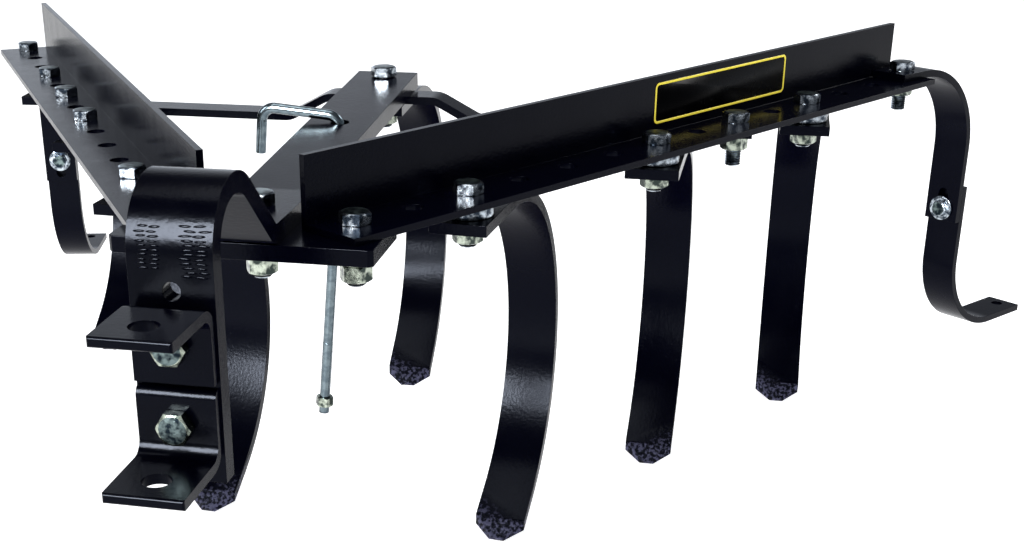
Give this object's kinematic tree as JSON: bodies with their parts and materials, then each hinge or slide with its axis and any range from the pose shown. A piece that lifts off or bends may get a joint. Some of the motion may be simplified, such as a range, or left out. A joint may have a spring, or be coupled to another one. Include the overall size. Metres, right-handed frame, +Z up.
{
  "type": "tow-behind cultivator",
  "caption": "V-shaped row cultivator frame with C-shaped spring-form tines, slotted gauge shoes, a cross bar and an arched drawbar with a pin clevis.",
  "frame": {"origin": "on the hitch pin's axis, midway between the two clevis ears", "axes": "+Z up along the hitch pin, +Y to the rear (it is towed towards -Y), +X to the machine's left"},
  "size_m": [1.0933, 0.9931, 0.3676],
  "materials": {
    "black_paint": "gloss black paint",
    "bright_zinc": "bright zinc plate",
    "yellow_zinc": "yellow-green zinc plate"
  },
  "bodies": {
    "frame": {"nose_plate": "black_paint", "drawbar": "black_paint", "cross_bar": "black_paint", "upper_clevis_ear": "black_paint", "lower_clevis_ear": "black_paint", "centre_tine": "black_paint", "left_arm": "black_paint", "left_front_tine": "black_paint", "left_middle_tine": "black_paint", "left_rear_tine": "black_paint", "left_tine_spacers": "bright_zinc", "left_gauge_strap": "black_paint", "left_gauge_shoe": "black_paint", "left_arm_bolts": "bright_zinc", "left_arm_nuts": "yellow_zinc", "right_arm": "black_paint", "right_front_tine": "black_paint", "right_middle_tine": "black_paint", "right_rear_tine": "black_paint", "right_tine_spacers": "bright_zinc", "right_gauge_strap": "black_paint", "right_gauge_shoe": "black_paint", "right_arm_bolts": "bright_zinc", "right_arm_nuts": "yellow_zinc", "gauge_bolts": "bright_zinc", "gauge_nuts": "yellow_zinc", "nose_lock_nuts": "yellow_zinc", "centre_bolts": "bright_zinc", "centre_nuts": "yellow_zinc", "clevis_bolts": "yellow_zinc", "clevis_nuts": "yellow_zinc"},
    "hook": {"hook_rod": "bright_zinc", "hook_nut": "yellow_zinc"}
  },
  "joints": [
    {"name": "hook_slide", "type": "slide", "parent": "frame", "child": "hook", "axis": [0.0872, 0, 0.9962], "range_m": [0, 0.2]}
  ]
}
